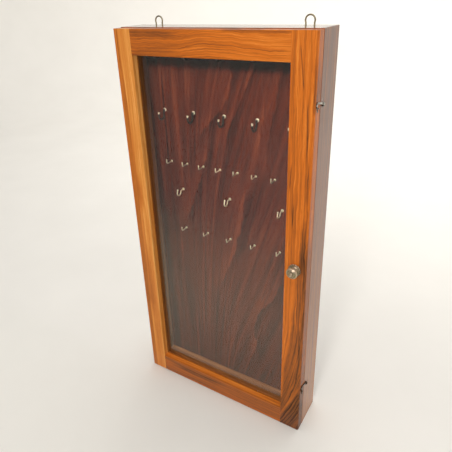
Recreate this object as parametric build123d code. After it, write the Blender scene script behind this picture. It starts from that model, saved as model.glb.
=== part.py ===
from build123d import *
import os
from math import cos, pi, radians, sin

os.makedirs("parts", exist_ok=True)

# A shallow glazed wall cabinet with rows of hooks on its back panel. Sizes are in millimetres.
# X runs across, Y from the room to the wall, Z up. The origin is the middle of the case's base.

# Case
cabinet_width = 371.0
cabinet_height = 760.0
case_depth = 64.5
board_thickness = 12.0
rebate_width = 6.0
back_panel_thickness = 17.5
edge_round = 1.5
edge_ease = 0.4
side_x = cabinet_width / 2
case_front_y = -case_depth / 2
wall_y = case_depth / 2
panel_front_y = wall_y - back_panel_thickness

# Door
door_thickness = 19.0
door_gap = 1.0
door_end_clearance = 1.0
left_stile_width = 37.2
right_stile_width = 39.6
top_rail_width = 43.0
bottom_rail_width = 41.0
tenon_length = 12.0
tenon_thickness = 6.0
tenon_inset = 4.0
tenon_shoulder = 6.0
door_back_y = case_front_y - door_gap
door_front_y = door_back_y - door_thickness
door_bottom_z = door_end_clearance
door_top_z = cabinet_height - door_end_clearance
opening_left_x = -side_x + left_stile_width
opening_right_x = side_x - right_stile_width
opening_bottom_z = door_bottom_z + bottom_rail_width
opening_top_z = door_top_z - top_rail_width

# Glass and its beads
glass_rebate_width = 6.0
glass_front_y = door_front_y + 12.5
glass_thickness = 2.0
glass_play = 1.0
bead_width = 5.4
bead_round = 3.0
bead_front_y = glass_front_y + glass_thickness

# Brads: square cut nails, with the same square hole a little wider
brad_side = 1.2
brad_hole_play = 0.04
bead_brad_length = 10.5
back_brad_length = 34.0
back_brad_head = 2.4
back_brad_head_depth = 1.0

# Butt hinges
hinge_height = 50.0
hinge_centres_z = {"lower": 105.0, "upper": 655.0}
knuckle_count = 5
knuckle_gap = 0.3
barrel_radius = 2.6
hinge_pin_radius = 1.3
pin_fit = 0.06
leaf_thickness = 1.0
leaf_gap = 0.3
leaf_width = 11.0
hinge_axis_x = -side_x - barrel_radius - 0.3
hinge_axis_y = case_front_y - door_gap / 2
pin_head_radius = 2.1
pin_head_height = 0.9
hinge_screw_steps = (-17.0, 0.0, 17.0)
hinge_screw_x = -side_x + 6.0
screw_head_radius = 2.5
screw_head_flare = 0.9
screw_core_radius = 1.2
screw_length = 14.0
screw_fit = 0.05

# Knob on the right stile
knob_x = 164.6
knob_z = 377.5
rosette_radius = 11.5
rosette_scallops = 20
rosette_thickness = 2.2
knob_head_radius = 10.0
knob_projection = 17.0
knob_screw_radius = 1.9
knob_screw_head_radius = 3.8
knob_screw_head_height = 1.8
knob_bore_depth = 11.0

# Swing latches on the right side
latch_pivots_z = {"lower": 104.0, "upper": 655.0}
latch_pivot_y = door_front_y + 29.5
latch_reach = 21.5
latch_rest_lifts = {"lower": 18.0, "upper": 9.0}
latch_closed_angle = -6.0
latch_plate_gap = 0.3
latch_plate_thickness = 1.4
latch_eye_radius = 3.3
claw_outer_radius = 5.7
claw_inner_radius = 3.1
claw_end_angle = 195.0
finger_radius = 0.85
finger_out = 0.9
finger_length = 7.5
latch_screw_radius = 1.2
latch_screw_head_radius = 2.6
latch_screw_head_height = 1.5
latch_screw_depth = 9.0
catch_pin_radius = 1.25
catch_pin_proud = 3.0
catch_pin_depth = 12.0

# Hanging loops on the top edge
loop_x = 143.0
loop_y = (panel_front_y + wall_y) / 2
loop_wire_radius = 1.3
loop_bend_radius = 7.7
loop_height = 16.0
loop_foot_half_width = 6.9
loop_leg_depth = 16.0

# Hooks: height of each row, first hook's place and step across
hook_rows = {
    "top_row_hook": {"z": 721.0, "first_x": -139.0, "step": 66.3, "count": 5, "form": "large_cup"},
    "cup_hook": {"z": 608.5, "first_x": -139.0, "step": 66.3, "count": 5, "form": "large_cup"},
    "upper_small_hook": {"z": 505.0, "first_x": -132.2, "step": 37.8, "count": 8, "form": "square"},
    "middle_hook": {"z": 448.5, "first_x": -108.3, "step": 109.3, "count": 3, "form": "middle_cup"},
    "lower_small_hook": {"z": 360.5, "first_x": -107.2, "step": 53.7, "count": 5, "form": "square"},
}
hook_forms = {
    "large_cup": {"wire": 1.25, "collar": 3.6, "collar_depth": 1.3, "shank": 1.3, "shank_depth": 13.0},
    "middle_cup": {"wire": 1.1, "collar": 3.0, "collar_depth": 1.1, "shank": 1.1, "shank_depth": 11.0},
    "square": {"wire": 1.0, "collar": 2.5, "collar_depth": 1.0, "shank": 1.0, "shank_depth": 10.0},
}
hook_hole_play = 0.05

# Flats on small round pieces. Few are enough here, and keep the many fasteners light
thin_sides = 6
wire_sides = 8
collar_sides = 10
pivot_sides = 12
groove_sides = 40


def block(x_ends, y_ends, z_ends):
    """A box between pairs of limits along X, Y and Z."""
    size = [abs(ends[1] - ends[0]) for ends in (x_ends, y_ends, z_ends)]
    middle = [(ends[0] + ends[1]) / 2 for ends in (x_ends, y_ends, z_ends)]
    return Pos(*middle) * Box(*size)


def rod(radius, start, end, sides=wire_sides):
    """A round rod with few flats from one point to another."""
    axis = Vector(*end) - Vector(*start)
    plane = Plane(origin=start, z_dir=axis)
    return extrude(plane * RegularPolygon(radius, sides), axis.length)


def end_edges(rod_shape, axis):
    """The edges round a rod's far end."""
    return rod_shape.faces().sort_by(axis)[-1].edges()


def square_bar(side, start, end):
    """A square bar from one point to another, with its sides along the cabinet's axes."""
    axis = Vector(*end) - Vector(*start)
    across = (0, 0, 1) if abs(axis.Z) < abs(axis.Y) + abs(axis.X) else (1, 0, 0)
    plane = Plane(origin=start, x_dir=across, z_dir=axis)
    return extrude(plane * Rectangle(side, side), axis.length)


def wire_tube(points, radius, sides=wire_sides):
    """Round wire with few flats, mitred from one straight run to the next."""
    path = Polyline(*points)
    first_run = Vector(*points[1]) - Vector(*points[0])
    plane = Plane(origin=points[0], z_dir=first_run)
    return sweep(plane * RegularPolygon(radius, sides), path=path, transition=Transition.RIGHT)


def long_edges(shape, axis, x=None, y=None, z=None):
    """Edges of a board that run along an axis and lie at the given coordinates."""
    found = shape.edges().filter_by(axis)
    for value, name in ((x, "X"), (y, "Y"), (z, "Z")):
        if value is not None:
            found = found.filter_by(lambda edge: abs(getattr(edge.center(), name) - value) < 0.01)
    return found


def save(shape, name):
    """Writes one node."""
    shape.label = name
    export_step(shape, f"parts/{name}.step")


# Places shared by holes and the pieces in them


def hook_places(row):
    """X of each hook in a row."""
    return [row["first_x"] + row["step"] * index for index in range(row["count"])]


def back_brad_places():
    """X and Z of the brads round the edge of the back panel."""
    edge = rebate_width + 3.0
    upright_z = [cabinet_height * share for share in (0.12, 0.37, 0.63, 0.88)]
    across_x = [cabinet_width * share for share in (-0.28, 0.28)]
    sides = [(sign * (side_x - edge), z) for sign in (-1, 1) for z in upright_z]
    ends = [(x, z) for x in across_x for z in (edge, cabinet_height - edge)]
    return sides + ends


def bead_brad_runs():
    """Start and end of each bead brad, from the sight edge outwards into the frame."""
    y = (bead_front_y + door_back_y) / 2
    runs = []
    for share in (0.14, 0.5, 0.86):
        z = opening_bottom_z + (opening_top_z - opening_bottom_z) * share
        for x, sign in ((opening_left_x, -1), (opening_right_x, 1)):
            start = x + sign * (glass_rebate_width - bead_width)
            runs.append(((start, y, z), (start + sign * bead_brad_length, y, z)))
    for share in (0.2, 0.8):
        x = opening_left_x + (opening_right_x - opening_left_x) * share
        for z, sign in ((opening_bottom_z, -1), (opening_top_z, 1)):
            start = z + sign * (glass_rebate_width - bead_width)
            runs.append(((x, y, start), (x, y, start + sign * bead_brad_length)))
    return runs


def bead_brad_holes():
    """Square holes for the bead brads, in the beads and the frame."""
    side = brad_side + brad_hole_play
    return [square_bar(side, start, end) for start, end in bead_brad_runs()]


def catch_pin_place(pivot_z):
    """Y and Z of the catch pin that a closed latch drops over."""
    angle = radians(latch_closed_angle)
    return latch_pivot_y - latch_reach * cos(angle), pivot_z + latch_reach * sin(angle)


# Case


def hinge_recess(y_inner, y_outer):
    """Recesses for the hinge leaves, in the edge of the case or the back of the stile."""
    half = hinge_height / 2
    return [
        block((-side_x - 1, -side_x + leaf_width), (y_inner, y_outer), (z - half, z + half))
        for z in hinge_centres_z.values()
    ]


def hinge_screw_holes(y_seat, direction):
    """Pilot holes under the hinge leaves."""
    radius = screw_core_radius + screw_fit
    y_tip = y_seat + direction * screw_length
    heights = [z + step for z in hinge_centres_z.values() for step in hinge_screw_steps]
    x = hinge_screw_x
    return [rod(radius, (x, y_seat, z), (x, y_tip, z), thin_sides) for z in heights]


def case_side(sign):
    """A side board: full height, with rebates for the top, the bottom and the back panel."""
    outer = sign * side_x
    lip = outer - sign * rebate_width
    inner = outer - sign * board_thickness
    board = block((outer, inner), (case_front_y, wall_y), (0, cabinet_height))
    board = fillet(long_edges(board, Axis.Z, x=outer), edge_round)
    board -= block((lip, inner), (case_front_y, wall_y), (0, board_thickness))
    top_z = (cabinet_height - board_thickness, cabinet_height)
    board -= block((lip, inner), (case_front_y, wall_y), top_z)
    panel_z = (rebate_width, cabinet_height - rebate_width)
    board -= block((lip, inner), (panel_front_y, wall_y), panel_z)
    return board


def back_brad_shoulder_holes():
    """Holes for the points of the back brads, in the boards' shoulders."""
    side = brad_side + brad_hole_play
    tip_y = wall_y - back_brad_length
    return [square_bar(side, (x, wall_y, z), (x, tip_y, z)) for x, z in back_brad_places()]


def left_side():
    board = case_side(-1)
    leaf_back_y = hinge_axis_y + leaf_gap / 2 + leaf_thickness
    board -= hinge_recess(case_front_y - 1, leaf_back_y)
    board -= hinge_screw_holes(leaf_back_y, 1)
    return board - back_brad_shoulder_holes()


def latch_screw_holes():
    radius = latch_screw_radius + pin_fit
    tip_x = side_x - latch_screw_depth
    y = latch_pivot_y
    return [rod(radius, (side_x, y, z), (tip_x, y, z), pivot_sides) for z in latch_pivots_z.values()]


def right_side():
    return case_side(1) - latch_screw_holes() - back_brad_shoulder_holes()


def end_board(outer_z, sign):
    """The top or bottom board, housed in the sides and rebated for the back panel."""
    half = side_x - rebate_width
    inner_z = outer_z - sign * board_thickness
    board = block((-half, half), (case_front_y, wall_y), (outer_z, inner_z))
    rebate_z = (outer_z - sign * rebate_width, inner_z)
    board -= block((-half, half), (panel_front_y, wall_y), rebate_z)
    return board - back_brad_shoulder_holes()


def loop_leg_holes():
    """Holes for the legs of both hanging loops."""
    radius = loop_wire_radius + hook_hole_play
    foot_z = cabinet_height - loop_leg_depth
    return [
        rod(radius, (x, loop_y, cabinet_height), (x, loop_y, foot_z))
        for middle in (-loop_x, loop_x)
        for x in (middle - loop_foot_half_width, middle + loop_foot_half_width)
    ]


def hook_holes():
    """A pilot hole for each hook."""
    holes = []
    for row in hook_rows.values():
        form = hook_forms[row["form"]]
        radius = form["shank"] + hook_hole_play
        end_y = panel_front_y + form["shank_depth"]
        for x in hook_places(row):
            ends = [(x, panel_front_y, row["z"]), (x, end_y, row["z"])]
            holes.append(rod(radius, *ends, thin_sides))
    return holes


def back_brad_head_recesses():
    side = back_brad_head + brad_hole_play
    return [
        square_bar(side, (x, wall_y, z), (x, wall_y - back_brad_head_depth, z))
        for x, z in back_brad_places()
    ]


def back_panel():
    half = side_x - rebate_width
    panel_z = (rebate_width, cabinet_height - rebate_width)
    panel = block((-half, half), (panel_front_y, wall_y), panel_z)
    panel -= hook_holes()
    panel -= loop_leg_holes()
    return panel - back_brad_shoulder_holes() - back_brad_head_recesses()


def back_panel_brads():
    """Cut brads with square heads let in flush with the back."""
    brads = []
    tip_y = wall_y - back_brad_length
    for x, z in back_brad_places():
        shank = square_bar(brad_side, (x, wall_y, z), (x, tip_y, z))
        head = square_bar(back_brad_head, (x, wall_y, z), (x, wall_y - back_brad_head_depth, z))
        brads.append(shank + head)
    return Compound(children=brads)


def hanging_loop(middle_x):
    """Horseshoe of wire with its two legs driven through the top board into the back panel."""
    bend_z = cabinet_height + loop_height - loop_wire_radius - loop_bend_radius
    foot_z = cabinet_height - loop_leg_depth
    turns = [radians(angle) for angle in range(-20, 201, 20)]
    bend = [
        (middle_x - loop_bend_radius * cos(turn), loop_y, bend_z + loop_bend_radius * sin(turn))
        for turn in turns
    ]
    feet_x = (middle_x - loop_foot_half_width, middle_x + loop_foot_half_width)
    start = [(feet_x[0], loop_y, foot_z), (feet_x[0], loop_y, cabinet_height)]
    end = [(feet_x[1], loop_y, cabinet_height), (feet_x[1], loop_y, foot_z)]
    return wire_tube(start + bend + end, loop_wire_radius)


# Door


def mortise(edge_x, direction, z_ends):
    y_start = door_front_y + tenon_inset
    y_ends = (y_start, y_start + tenon_thickness)
    return block((edge_x, edge_x + direction * tenon_length), y_ends, z_ends)


def tenon_heights():
    """Z limits of the bottom and top tenons."""
    bottom = (door_bottom_z + tenon_shoulder, opening_bottom_z - tenon_shoulder)
    top = (opening_top_z + tenon_shoulder, door_top_z - tenon_shoulder)
    return bottom, top


def stile(outer_x, inner_x):
    """An upright of the door, with mortises and a glass rebate."""
    sign = 1 if outer_x > 0 else -1
    upright = block((outer_x, inner_x), (door_front_y, door_back_y), (door_bottom_z, door_top_z))
    upright = fillet(long_edges(upright, Axis.Z, x=outer_x, y=door_front_y), 2 * edge_round)
    ends = ShapeList()
    for z in (door_bottom_z, door_top_z):
        ends += long_edges(upright, Axis.X, y=door_front_y, z=z)
    upright = chamfer(ends, edge_ease)
    upright = chamfer(long_edges(upright, Axis.Z, x=inner_x, y=door_front_y), edge_ease)
    rebate_z = (opening_bottom_z - glass_rebate_width, opening_top_z + glass_rebate_width)
    rebate_x = (inner_x, inner_x + sign * glass_rebate_width)
    upright -= block(rebate_x, (glass_front_y, door_back_y), rebate_z)
    for z_ends in tenon_heights():
        upright -= mortise(inner_x, sign, z_ends)
    return upright - bead_brad_holes()


def left_stile():
    upright = stile(-side_x, opening_left_x)
    leaf_front_y = hinge_axis_y - leaf_gap / 2 - leaf_thickness
    upright -= hinge_recess(leaf_front_y, door_back_y + 1)
    return upright - hinge_screw_holes(leaf_front_y, -1)


def catch_pin_holes():
    holes = []
    for pivot_z in latch_pivots_z.values():
        y, z = catch_pin_place(pivot_z)
        ends = [(side_x, y, z), (side_x - catch_pin_depth, y, z)]
        holes.append(rod(catch_pin_radius + pin_fit, *ends, pivot_sides))
    return holes


def right_stile():
    upright = stile(side_x, opening_right_x)
    bore_ends = [(knob_x, y, knob_z) for y in (door_front_y, door_back_y)]
    upright -= rod(knob_screw_radius + pin_fit, *bore_ends)
    return upright - catch_pin_holes()


def rail(outer_z, inner_z, tenon_z):
    """A cross piece of the door, with a stub tenon at each end and a glass rebate."""
    sign = 1 if outer_z > inner_z else -1
    y_ends = (door_front_y, door_back_y)
    piece = block((opening_left_x, opening_right_x), y_ends, (inner_z, outer_z))
    piece = fillet(long_edges(piece, Axis.X, y=door_front_y, z=outer_z), edge_round / 2)
    piece = chamfer(long_edges(piece, Axis.X, y=door_front_y, z=inner_z), edge_ease)
    rebate_z = (inner_z, inner_z + sign * glass_rebate_width)
    piece -= block((opening_left_x, opening_right_x), (glass_front_y, door_back_y), rebate_z)
    piece += mortise(opening_left_x, -1, tenon_z)
    piece += mortise(opening_right_x, 1, tenon_z)
    return piece - bead_brad_holes()


def glass_pane():
    reach = glass_rebate_width - glass_play
    return block(
        (opening_left_x - reach, opening_right_x + reach),
        (glass_front_y, glass_front_y + glass_thickness),
        (opening_bottom_z - reach, opening_top_z + reach),
    )


def bead(corner_a, corner_b, inward):
    """A mitred glazing bead along one side of the glass, rounded towards the middle."""
    start, end = Vector(*corner_a), Vector(*corner_b)
    along = (end - start).normalized()
    across = Vector(*inward) * bead_width
    outline = [start, end, end - along * bead_width + across, start + along * bead_width + across]
    points = [(point.X, bead_front_y, point.Z) for point in outline]
    strip = extrude(make_face(Polyline(*points, close=True)), door_back_y - bead_front_y, dir=(0, 1, 0))
    middle = (start + end) * 0.5 + across
    run = Axis.X if abs(along.X) > 0.5 else Axis.Z
    if run == Axis.X:
        rounded = long_edges(strip, run, y=door_back_y, z=middle.Z)
    else:
        rounded = long_edges(strip, run, y=door_back_y, x=middle.X)
    return fillet(rounded, bead_round) - bead_brad_holes()


def beads():
    """The four beads by name."""
    x0 = opening_left_x - glass_rebate_width
    x1 = opening_right_x + glass_rebate_width
    z0 = opening_bottom_z - glass_rebate_width
    z1 = opening_top_z + glass_rebate_width
    return {
        "bead_bottom": bead((x0, 0, z0), (x1, 0, z0), (0, 0, 1)),
        "bead_top": bead((x0, 0, z1), (x1, 0, z1), (0, 0, -1)),
        "bead_left": bead((x0, 0, z0), (x0, 0, z1), (1, 0, 0)),
        "bead_right": bead((x1, 0, z0), (x1, 0, z1), (-1, 0, 0)),
    }


def bead_brads():
    return Compound(children=[square_bar(brad_side, start, end) for start, end in bead_brad_runs()])


# Knob


def knob_rosette():
    """Round plate with a scalloped edge, a hollow ring and a raised middle."""
    scallop_radius = pi * rosette_radius / rosette_scallops
    disc_radius = rosette_radius - scallop_radius * 0.6
    outline = RegularPolygon(disc_radius, groove_sides)
    scallop = RegularPolygon(scallop_radius * 0.6, 6)
    for index in range(rosette_scallops):
        angle = 2 * pi * index / rosette_scallops
        outline += Pos(disc_radius * cos(angle), disc_radius * sin(angle)) * scallop
    plate = extrude(outline, rosette_thickness)
    groove_ends = [RegularPolygon(disc_radius - inset, groove_sides) for inset in (1.2, 3.4)]
    groove = groove_ends[0] - groove_ends[1]
    plate -= Pos(0, 0, rosette_thickness - 0.7) * extrude(groove, 1)
    plate -= extrude(RegularPolygon(knob_screw_radius + pin_fit, wire_sides), rosette_thickness)
    return Pos(knob_x, door_front_y, knob_z) * Rot(90, 0, 0) * plate


def knob():
    """Turned knob: a flared foot, a narrow neck and a mushroom head with rings and a centre button."""
    foot = rosette_thickness
    head_back = knob_projection - 6.5
    face = head_back + 4.4
    rim = knob_head_radius
    rim_z = head_back + 1.4
    lip_width = 2.4
    neck = 3.4
    flare = 3.0
    bore = knob_screw_radius + pin_fit
    bore_end = foot + knob_bore_depth
    stem = [(bore, bore_end), (bore, foot), (5.2, foot), (5.2, foot + 1.2), (3.6, foot + 2.6)]
    quarter = [radians(angle) for angle in range(0, 91, 30)]
    hollow = [(neck + flare * (1 - cos(a)), head_back - flare * (1 - sin(a))) for a in quarter]
    shoulder = [(rim - lip_width * (1 - cos(a)), rim_z + (face - rim_z) * sin(a)) for a in quarter]
    rings = [(rim - 3.0, face - 0.6), (rim - 3.6, face + 0.2), (3.2, face + 0.8), (2.6, face + 0.2)]
    button = [(2.0, knob_projection - 0.7), (1.4, knob_projection), (0, knob_projection)]
    outline = stem + hollow + shoulder + rings + button + [(0, bore_end)]
    profile = Plane.XZ * make_face(Polyline(*outline, close=True))
    return Pos(knob_x, door_front_y, knob_z) * Rot(90, 0, 0) * revolve(profile, Axis.Z)


def knob_screw():
    """Screw through the stile and the rosette into the knob."""
    tip_y = door_front_y - rosette_thickness - knob_bore_depth
    seat = (knob_x, door_back_y, knob_z)
    shank = rod(knob_screw_radius, seat, (knob_x, tip_y, knob_z))
    head_y = door_back_y + knob_screw_head_height
    head = rod(knob_screw_head_radius, seat, (knob_x, head_y, knob_z), pivot_sides)
    head = chamfer(end_edges(head, Axis.Y), 0.9)
    slot = block((knob_x - 5, knob_x + 5), (head_y - 0.7, head_y), (knob_z - 0.5, knob_z + 0.5))
    return shank + head - slot


# Hinges


def knuckle_z(centre_z, index):
    """Z limits of one knuckle, counted from the bottom."""
    length = (hinge_height - (knuckle_count - 1) * knuckle_gap) / knuckle_count
    start = centre_z - hinge_height / 2 + index * (length + knuckle_gap)
    return start, start + length


def hinge_leaf(centre_z, side, own_knuckles):
    """A leaf with its knuckles. side is 1 for the case leaf and -1 for the door leaf."""
    near_y = hinge_axis_y + side * leaf_gap / 2
    seat_y = near_y + side * leaf_thickness
    half = hinge_height / 2
    leaf = block((-side_x, -side_x + leaf_width), (near_y, seat_y), (centre_z - half, centre_z + half))
    for index in own_knuckles:
        z_ends = knuckle_z(centre_z, index)
        ends = [(hinge_axis_x, hinge_axis_y, z) for z in z_ends]
        leaf += rod(barrel_radius, *ends, pivot_sides)
        leaf += block((hinge_axis_x + barrel_radius - 0.6, -side_x), (near_y, seat_y), z_ends)
        leaf -= rod(hinge_pin_radius + pin_fit, *ends, pivot_sides)
    for step in hinge_screw_steps:
        leaf -= hinge_screw(centre_z + step, side)
    return leaf


def hinge_screw(z, side):
    """Countersunk screw, its head flush with the leaf's free face."""
    near_y = hinge_axis_y + side * leaf_gap / 2
    seat_y = near_y + side * leaf_thickness
    tip_y = seat_y + side * screw_length
    head = rod(screw_head_radius, (hinge_screw_x, near_y, z), (hinge_screw_x, seat_y, z), pivot_sides)
    seat = head.faces().sort_by(Axis.Y)[-1 if side > 0 else 0]
    head = chamfer(seat.edges(), screw_head_flare)
    core_ends = [(hinge_screw_x, seat_y, z), (hinge_screw_x, tip_y, z)]
    return head + rod(screw_core_radius, *core_ends, thin_sides)


def hinge_screws(side):
    """All screws in the case leaves or the door leaves, with a slot in each head."""
    near_y = hinge_axis_y + side * leaf_gap / 2
    screws = []
    for centre_z in hinge_centres_z.values():
        for step in hinge_screw_steps:
            z = centre_z + step
            slot_y = (near_y, near_y + side * 0.5)
            slot = block((hinge_screw_x - 3, hinge_screw_x + 3), slot_y, (z - 0.35, z + 0.35))
            screws.append(hinge_screw(z, side) - slot)
    return Compound(children=screws)


def hinge_pin(centre_z):
    """Pin with a button at each end, which keeps it in the barrel."""
    bottom = centre_z - hinge_height / 2
    top = centre_z + hinge_height / 2
    ends = [(hinge_axis_x, hinge_axis_y, z) for z in (bottom, top)]
    pin = rod(hinge_pin_radius, *ends, pivot_sides)
    for z, start in ((bottom - pin_head_height, ends[0]), (top + pin_head_height, ends[1])):
        pin += rod(pin_head_radius, start, (hinge_axis_x, hinge_axis_y, z), pivot_sides)
    return pin


# Latches


def latch_hook(pivot_z, rest_lift):
    """Flat swing hook: an eye, a tapered arm, a claw and a hanging finger, lifted off its pin."""
    claw = Circle(claw_outer_radius) - Circle(claw_inner_radius)
    far = 2 * claw_outer_radius
    corners = [radians(angle) for angle in (60, 90, 135, 180, claw_end_angle)]
    keep = [(far * cos(corner), far * sin(corner)) for corner in corners]
    claw &= make_face(Polyline((0, 0), *keep, close=True))
    arm_top = [(0, 3.2), (-latch_reach, claw_outer_radius)]
    arm_under = [(-latch_reach, claw_inner_radius), (0, -0.6)]
    arm = make_face(Polyline(*arm_top, *arm_under, close=True))
    eye = Circle(latch_eye_radius)
    plate = eye + arm + Pos(-latch_reach, 0) * claw
    plate = extrude(plate - Circle(latch_screw_radius + pin_fit), latch_plate_thickness)
    middle_radius = (claw_outer_radius + claw_inner_radius) / 2
    end_u = -latch_reach + middle_radius * cos(radians(claw_end_angle - 8))
    end_v = middle_radius * sin(radians(claw_end_angle - 8))
    finger = [(end_u, end_v, finger_out), (end_u - 0.2, end_v - 3.5, finger_out + 0.5)]
    finger.append((end_u + 0.3, end_v - finger_length, finger_out + 1.4))
    flat = plate + wire_tube(finger, finger_radius, thin_sides)
    turned = Rot(0, 0, -(latch_closed_angle + rest_lift)) * flat
    seat = (side_x + latch_plate_gap, latch_pivot_y, pivot_z)
    facing_right = Plane(origin=seat, x_dir=(0, 1, 0), z_dir=(1, 0, 0))
    return facing_right.location * turned


def latch_screws():
    """Round-headed screws that the latch hooks turn on, with a slot in each head."""
    under_head_x = side_x + latch_plate_gap + latch_plate_thickness + 0.1
    top_x = under_head_x + latch_screw_head_height
    tip_x = side_x - latch_screw_depth
    y = latch_pivot_y
    screws = []
    for z in latch_pivots_z.values():
        shank = rod(latch_screw_radius, (tip_x, y, z), (under_head_x, y, z), pivot_sides)
        head = rod(latch_screw_head_radius, (under_head_x, y, z), (top_x, y, z), pivot_sides)
        head = chamfer(end_edges(head, Axis.X), 0.8)
        slot = block((top_x - 0.6, top_x), (y - 3, y + 3), (z - 0.35, z + 0.35))
        screws.append(shank + head - slot)
    return Compound(children=screws)


def catch_pins():
    """Plain pins in the door's edge that the latch hooks drop over."""
    pins = []
    for pivot_z in latch_pivots_z.values():
        y, z = catch_pin_place(pivot_z)
        ends = [(side_x - catch_pin_depth, y, z), (side_x + catch_pin_proud, y, z)]
        pin = rod(catch_pin_radius, *ends, pivot_sides)
        pins.append(chamfer(end_edges(pin, Axis.X), 0.4))
    return Compound(children=pins)


# Hooks


def large_cup_path():
    """Out of the collar, down beside the panel and round in a wide cup. Pairs are reach and height."""
    bowl = [(11.6 - 7.6 * cos(radians(a)), -8.6 - 7.6 * sin(radians(a))) for a in range(0, 181, 36)]
    return [(0, 0), (2.8, -0.2), (4.0, -2.0)] + bowl + [(19.2, -2.0)]


def middle_cup_path():
    """Out level from the collar, then a small cup with a tall tip."""
    bowl = [(15.3 - 5.8 * cos(radians(a)), -2.4 - 5.8 * sin(radians(a))) for a in range(0, 181, 36)]
    return [(0, 0), (7.6, 0), (9.0, -0.7)] + bowl + [(21.1, 3.2)]


def square_path():
    """Straight out and square up."""
    return [(0, 0), (14.0, -0.5), (15.8, 1.2), (16.3, 8.4)]


hook_paths = {"large_cup": large_cup_path, "middle_cup": middle_cup_path, "square": square_path}


def hook(form_name, x, z):
    """One hook: shank in the panel, collar against it, bent wire and a rounded tip."""
    form = hook_forms[form_name]
    path = hook_paths[form_name]()
    points = [(x, panel_front_y - reach, z + height) for reach, height in path]
    face = Plane(origin=(x, panel_front_y, z), z_dir=(0, -1, 0))
    wire = wire_tube(points, form["wire"], thin_sides)
    shank = extrude(face * RegularPolygon(form["shank"], thin_sides), -form["shank_depth"])
    collar = extrude(face * RegularPolygon(form["collar"], collar_sides), form["collar_depth"])
    collar = chamfer(collar.faces().sort_by(Axis.Y)[0].edges(), form["collar_depth"] / 3)
    piece = wire + shank + collar
    if form_name != "square":
        ball_radius = form["wire"] * 1.45
        low, high = [Vector(*points[-1]) + Vector(0, 0, sign * ball_radius) for sign in (-1, 1)]
        ball = rod(ball_radius, low, high)
        ends = ball.faces().filter_by(Axis.Z).edges()
        piece += chamfer(ends, ball_radius * 0.28)
    return piece


def all_hooks():
    """Every hook by name."""
    found = {}
    for name, row in hook_rows.items():
        for number, x in enumerate(hook_places(row), start=1):
            found[f"{name}_{number}"] = hook(row["form"], x, row["z"])
    return found


bottom_tenon_z, top_tenon_z = tenon_heights()
nodes = {
    "left_side": left_side(),
    "right_side": right_side(),
    "top_board": end_board(cabinet_height, 1) - loop_leg_holes(),
    "bottom_board": end_board(0, -1),
    "back_panel": back_panel(),
    "back_panel_brads": back_panel_brads(),
    "left_hanging_loop": hanging_loop(-loop_x),
    "right_hanging_loop": hanging_loop(loop_x),
    "left_stile": left_stile(),
    "right_stile": right_stile(),
    "top_rail": rail(door_top_z, opening_top_z, top_tenon_z),
    "bottom_rail": rail(door_bottom_z, opening_bottom_z, bottom_tenon_z),
    "glass_pane": glass_pane(),
    "bead_brads": bead_brads(),
    "knob_rosette": knob_rosette(),
    "knob": knob(),
    "knob_screw": knob_screw(),
    "hinge_screws_case": hinge_screws(1),
    "hinge_screws_door": hinge_screws(-1),
    "latch_screws": latch_screws(),
    "catch_pins": catch_pins(),
}
nodes.update(beads())
for level, centre_z in hinge_centres_z.items():
    nodes[f"{level}_hinge_case_leaf"] = hinge_leaf(centre_z, 1, (0, 2, 4))
    nodes[f"{level}_hinge_door_leaf"] = hinge_leaf(centre_z, -1, (1, 3))
    nodes[f"{level}_hinge_pin"] = hinge_pin(centre_z)
for level, pivot_z in latch_pivots_z.items():
    nodes[f"{level}_latch_hook"] = latch_hook(pivot_z, latch_rest_lifts[level])
nodes.update(all_hooks())

for name, shape in nodes.items():
    save(shape, name)
print(len(nodes), "nodes written")
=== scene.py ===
from math import cos, pi, radians, sin

import bmesh
import bpy
from mathutils import Matrix, Quaternion, Vector


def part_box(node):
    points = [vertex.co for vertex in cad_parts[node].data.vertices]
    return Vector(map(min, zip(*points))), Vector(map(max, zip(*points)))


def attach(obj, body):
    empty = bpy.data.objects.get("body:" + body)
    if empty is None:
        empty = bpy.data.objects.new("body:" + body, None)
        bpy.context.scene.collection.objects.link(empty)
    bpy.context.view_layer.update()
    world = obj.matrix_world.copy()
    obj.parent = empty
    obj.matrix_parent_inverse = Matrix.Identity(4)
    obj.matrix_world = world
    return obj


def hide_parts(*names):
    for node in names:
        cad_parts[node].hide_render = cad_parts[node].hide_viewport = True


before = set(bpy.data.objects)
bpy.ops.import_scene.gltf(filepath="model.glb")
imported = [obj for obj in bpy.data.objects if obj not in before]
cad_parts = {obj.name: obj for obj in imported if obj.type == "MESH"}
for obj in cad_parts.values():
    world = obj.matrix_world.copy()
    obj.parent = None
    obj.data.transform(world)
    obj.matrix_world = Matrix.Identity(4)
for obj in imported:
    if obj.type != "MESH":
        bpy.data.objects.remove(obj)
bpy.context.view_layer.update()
mm = 0.001


# Camera: stands to the right of the cabinet and above it, and looks down on its front.
# It is a full-frame camera with a 36 mm lens, tipped a little to its right. The lens is shifted
# down a little, because the picture is the lower part of a taller one.
camera_place = (0.40571, -0.66127, 0.80700)
camera_direction = (-0.48821, 0.76743, -0.41557)
camera_tip = radians(2.17)
camera_lens = 35.92
camera_sensor = 36
camera_shift = (0.0155, -0.0575)
camera_nearest = 0.01

camera = bpy.data.objects.new("camera", bpy.data.cameras.new("camera"))
bpy.context.scene.collection.objects.link(camera)
camera.location = camera_place
straight = Vector(camera_direction).to_track_quat("-Z", "Y")
camera.rotation_mode = "QUATERNION"
camera.rotation_quaternion = straight @ Quaternion((0, 0, 1), -camera_tip)
camera.data.sensor_width = camera_sensor
camera.data.lens = camera_lens
camera.data.shift_x, camera.data.shift_y = camera_shift
camera.data.clip_start = camera_nearest
bpy.context.scene.camera = camera


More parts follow.
